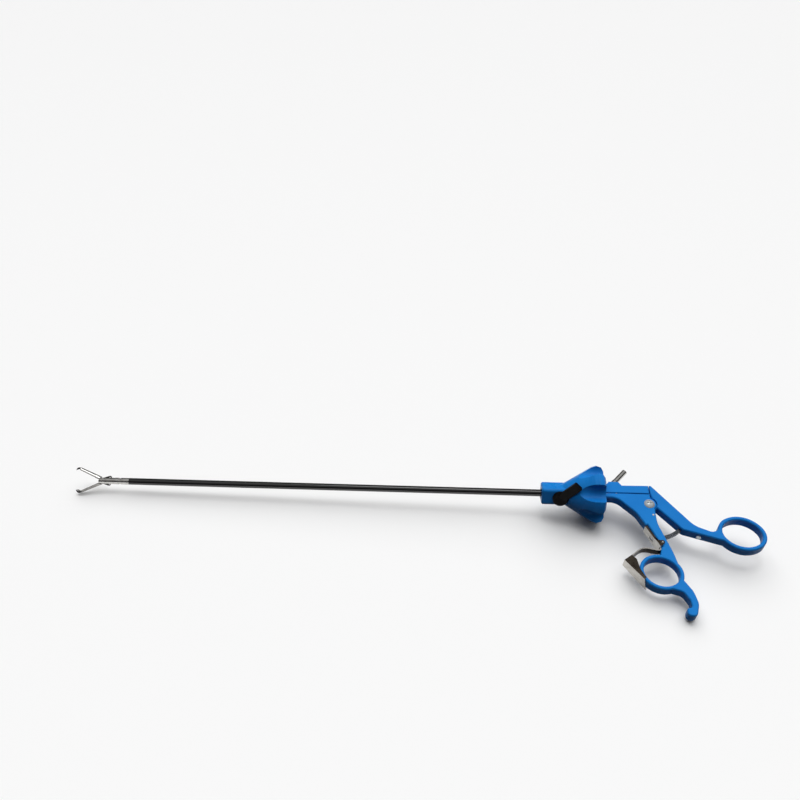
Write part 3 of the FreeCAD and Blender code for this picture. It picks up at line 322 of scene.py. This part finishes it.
leverSheet = {
    "gripHigh": (70.6, -29.0), "gripLow": (77.4, -43.0), "offset": 0.9, "thick": 0.8,
    "webStations": (-2.0, 1.2, 4.5, 8.5, 10.6, 11.2, 11.8, 12.4, 13.0, 13.6, 14.2, 14.8, 15.2, 15.6),
    "webHalf": 4.35, "webTopHalf": 3.3, "widenFrom": 8.0, "widenTo": 11.0,
    "windowHalf": 1.4, "windowRow": 2,
    "flange": 1.2, "ear": 4.3, "earAt": 13.6, "earReach": 1.9,
    "neck": 0.9, "stripLow": -2.2, "stripHigh": 3.1, "stripDrop": 3.4, "stripBend": 2.2, "bendSteps": 7,
    "stripMiddle": (64.6, -43.9, 9.0), "stripEnd": (57.4, -50.2),
    "padLow": ((50.9, -56.0, -0.6), (64.5, -71.2, -5.4)),
    "padHigh": ((51.4, -55.2, 4.7), (62.3, -69.1, 5.0)),
    "padShares": (0.0, 0.12, 0.35, 0.6, 0.85, 1.0), "padAcross": (0.0, 0.3, 0.7, 1.0),
    "flangeInner": ((56.2, -51.4), (59.2, -54.4), (59.8, -58.2), (60.4, -61.6), (62.4, -66.0), (63.6, -67.8)),
    "edge": 0.14,
}


# faces that take the darkened steel copy (painted dark reflection) or the bright steel
paintedDarkFace = 0
brightFace = 1


def buildLever():
    # bent sheet: a channel in front of the grip, a narrow strip and a finger pad with a folded upper flange;
    # the flanges, the strip and the pad's flange get a darkened copy of the steel, a painted dark reflection,
    # while the web and pad stay bright
    v = leverSheet
    high = Vector(v["gripHigh"])
    heading = (Vector(v["gripLow"]) - high).normalized()
    out = Vector((heading.y, -heading.x))
    bm = bmesh.new()

    def webPoint(t):
        return high + heading * t + out * v["offset"]

    def rowAt(point, widths):
        return [bm.verts.new((point.x, point.y, w)) for w in widths]

    def bridge(first, second, index, skip=()):
        for i in range(len(first) - 1):
            if i not in skip:
                face = bm.faces.new((first[i], first[i + 1], second[i + 1], second[i]))
                face.material_index = index

    stations = v["webStations"]
    webEnd = stations[-1]
    rows = []
    for t in stations:
        widen = min(1.0, max(0.0, (t - v["widenFrom"]) / (v["widenTo"] - v["widenFrom"])))
        half = v["webTopHalf"] + (v["webHalf"] - v["webTopHalf"]) * widen
        rows.append(rowAt(webPoint(t), (-half, -v["windowHalf"], v["windowHalf"], half)))
    for i, (first, second) in enumerate(zip(rows, rows[1:])):
        bridge(first, second, brightFace, (1,) if i == v["windowRow"] else ())
    for side in (0, 3):
        edge = []
        for t, row in zip(stations, rows):
            away = min(1.0, abs(t - v["earAt"]) / v["earReach"])
            depth = v["flange"] + (v["ear"] - v["flange"]) * math.sqrt(1.0 - away * away)
            inner = webPoint(t) - out * depth
            edge.append([row[side], bm.verts.new((inner.x, inner.y, row[side].co.z))])
        for first, second in zip(edge, edge[1:]):
            bridge(first, second, paintedDarkFace)
    corner = webPoint(webEnd + v["stripDrop"])
    path = bendPath([
        tuple(webPoint(webEnd)),
        (corner.x, corner.y, v["stripBend"]),
        v["stripMiddle"],
        v["stripEnd"],
    ], v["bendSteps"])
    stripWidths = (v["stripLow"], -v["windowHalf"], v["windowHalf"], v["stripHigh"])
    last = rowAt(webPoint(webEnd + v["neck"]), stripWidths)
    bridge(rows[-1], last, brightFace)
    for point in path[1:]:
        row = rowAt(point, stripWidths)
        bridge(last, row, paintedDarkFace)
        last = row
    padRows = []
    for share in v["padShares"]:
        low = Vector(v["padLow"][0]).lerp(Vector(v["padLow"][1]), share)
        high = Vector(v["padHigh"][0]).lerp(Vector(v["padHigh"][1]), share)
        padRows.append([bm.verts.new(low.lerp(high, part)) for part in v["padAcross"]])
    bridge(last, padRows[0], paintedDarkFace)
    for first, second in zip(padRows, padRows[1:]):
        bridge(first, second, brightFace)
    edge = []
    for row, inner in zip(padRows, v["flangeInner"]):
        edge.append([row[3], bm.verts.new((*inner, row[3].co.z))])
    for first, second in zip(edge, edge[1:]):
        bridge(first, second, paintedDarkFace)
    bmesh.ops.recalc_face_normals(bm, faces=bm.faces[:])
    # the first material is the painted dark reflection on the flanges, strip and pad flange
    bright = slotMaterials["satin_steel"]
    sheetMaterials = [slotMaterials["steel_painted_dark_reflection"], bright, bright]    # the third is the rim of bright faces
    obj = meshPiece("leverSheet", bm, lie["handleLean"], bodyOf["release_lever"], sheetMaterials)
    solid = obj.modifiers.new("sheet", "SOLIDIFY")
    solid.thickness = v["thick"] * millimetre
    solid.offset = 0.0
    solid.material_offset_rim = 1
    rounding = obj.modifiers.new("rounding", "BEVEL")
    rounding.width = v["edge"] * millimetre
    rounding.segments = 2
    rounding.limit_method = "ANGLE"
    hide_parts("release_lever")


seamShadeStrip = {"front": 45.2, "rear": 75.2, "at": -0.8, "half": 0.22, "taper": 0.4, "top": 3.8, "proud": 0.015}


def buildSeamShade():
    # painted shade of the parting-line groove between the two halves of the housing: a dark strip on both flat
    # sides
    v = seamShadeStrip
    bm = bmesh.new()
    for side in (-1.0, 1.0):
        level = side * (v["top"] + v["proud"])
        slim = v["half"] * v["taper"]
        corners = [(v["front"], v["at"] - slim), (v["rear"], v["at"] - v["half"]),
                   (v["rear"], v["at"] + v["half"]), (v["front"], v["at"] + slim)]
        outer = [bm.verts.new((x, y, level)) for x, y in corners]
        inner = [bm.verts.new((x, y, level - side * v["proud"] * 2)) for x, y in corners]
        bm.faces.new(outer)
        bm.faces.new(inner[::-1])
        for i in range(4):
            bm.faces.new((outer[i], inner[i], inner[(i + 1) % 4], outer[(i + 1) % 4]))
    bmesh.ops.recalc_face_normals(bm, faces=bm.faces[:])
    seamShadeMaterials = [slotMaterials["seam_painted_shade"]]
    meshPiece("partingLineShade", bm, lie["handleLean"], bodyOf["handle_body"], seamShadeMaterials)


bodyOf = {}
for body, members in frame["record"]["behaviour"]["bodies"].items():
    for member in members:
        bodyOf[member] = body
buildLever()
buildSeamShade()
print("lever and parting line built")


# table, light and camera

table = {"size": 12.0, "drop": 0.00005, "albedo": (0.95, 0.95, 0.95), "bounceAlbedo": (0.05, 0.055, 0.06)}


def buildTable():
    half = table["size"] / 2.0
    level = cadBox[0][2] - table["drop"]
    mesh = bpy.data.meshes.new("tableTop")
    corners = [(-half, -half, level), (half, -half, level), (half, half, level), (-half, half, level)]
    mesh.from_pydata(corners, [], [(0, 1, 2, 3)])
    obj = bpy.data.objects.new("tableTop", mesh)
    bpy.context.scene.collection.objects.link(obj)
    mat, tree, shader = newMaterial("tableWhite")
    shader.inputs["Roughness"].default_value = 0.7
    shader.inputs["Specular IOR Level"].default_value = 0.1
    path = tree.nodes.new("ShaderNodeLightPath")
    seen = tree.nodes.new("ShaderNodeMath")
    seen.operation = "MAXIMUM"
    tree.links.new(path.outputs["Is Camera Ray"], seen.inputs[0])
    tree.links.new(path.outputs["Is Glossy Ray"], seen.inputs[1])
    colour = mixColours(tree, seen.outputs["Value"], table["bounceAlbedo"], table["albedo"])
    tree.links.new(colour, shader.inputs["Base Color"])
    mesh.materials.append(mat)


light = {
    "skyHigh": 0.5, "skyPower": 3.0, "shineHigh": 0.7, "backdrop": 0.96,
    "lampStrength": 0.3, "lampAngle": 20.0, "lampTilt": 8.0, "lampTurn": 195.0,
    "softStrength": 2.48, "softAngle": 84.0, "softTilt": 27.0, "softTurn": 172.0,
}


def buildLight():
    world = bpy.data.worlds.new("studioSky")
    bpy.context.scene.world = world
    world.use_nodes = True
    tree = world.node_tree
    background = tree.nodes["Background"]
    where = tree.nodes.new("ShaderNodeTexCoord")
    split = tree.nodes.new("ShaderNodeSeparateXYZ")
    tree.links.new(where.outputs["Generated"], split.inputs["Vector"])
    fade = tree.nodes.new("ShaderNodeMath")    # dark near the horizon, bright overhead
    fade.operation = "POWER"
    fade.use_clamp = True
    tree.links.new(split.outputs["Z"], fade.inputs[0])
    fade.inputs[1].default_value = light["skyPower"]
    path = tree.nodes.new("ShaderNodeLightPath")
    reach = tree.nodes.new("ShaderNodeMix")
    reach.data_type = "FLOAT"
    tree.links.new(path.outputs["Is Glossy Ray"], reach.inputs["Factor"])
    reach.inputs["A"].default_value = light["skyHigh"]
    reach.inputs["B"].default_value = light["shineHigh"]
    glow = tree.nodes.new("ShaderNodeMath")
    glow.operation = "MULTIPLY"
    tree.links.new(fade.outputs["Value"], glow.inputs[0])
    tree.links.new(reach.outputs["Result"], glow.inputs[1])
    mix = tree.nodes.new("ShaderNodeMix")
    mix.data_type = "FLOAT"
    tree.links.new(path.outputs["Is Camera Ray"], mix.inputs["Factor"])
    tree.links.new(glow.outputs["Value"], mix.inputs["A"])
    mix.inputs["B"].default_value = light["backdrop"]
    tree.links.new(mix.outputs["Result"], background.inputs["Strength"])
    background.inputs["Color"].default_value = (1.0, 1.0, 1.0, 1.0)
    for name in ("lamp", "soft"):
        lamp = bpy.data.lights.new(name + "Sun", "SUN")
        lamp.energy = light[name + "Strength"]
        lamp.angle = math.radians(light[name + "Angle"])
        obj = bpy.data.objects.new(name + "Sun", lamp)
        obj.rotation_euler = (math.radians(light[name + "Tilt"]), 0.0, math.radians(light[name + "Turn"]))
        obj.visible_glossy = name == "lamp"    # only the small lamp shows in the shiny surfaces
        bpy.context.scene.collection.objects.link(obj)


cameraPlace = {"at": (-0.0738, -0.4011, 0.3934), "pitch": 38.0, "yaw": 3.96, "lens": 34.65, "sensor": 36.0}


def buildCamera():
    data = bpy.data.cameras.new("tableCamera")
    data.lens = cameraPlace["lens"]
    data.sensor_width = cameraPlace["sensor"]
    obj = bpy.data.objects.new("tableCamera", data)
    obj.location = cameraPlace["at"]
    obj.rotation_euler = (math.radians(90.0 - cameraPlace["pitch"]), 0.0, math.radians(cameraPlace["yaw"]))
    bpy.context.scene.collection.objects.link(obj)
    bpy.context.scene.camera = obj


buildTable()
buildLight()
buildCamera()
bpy.context.scene.view_settings.view_transform = "Standard"
print("table, light and camera set")
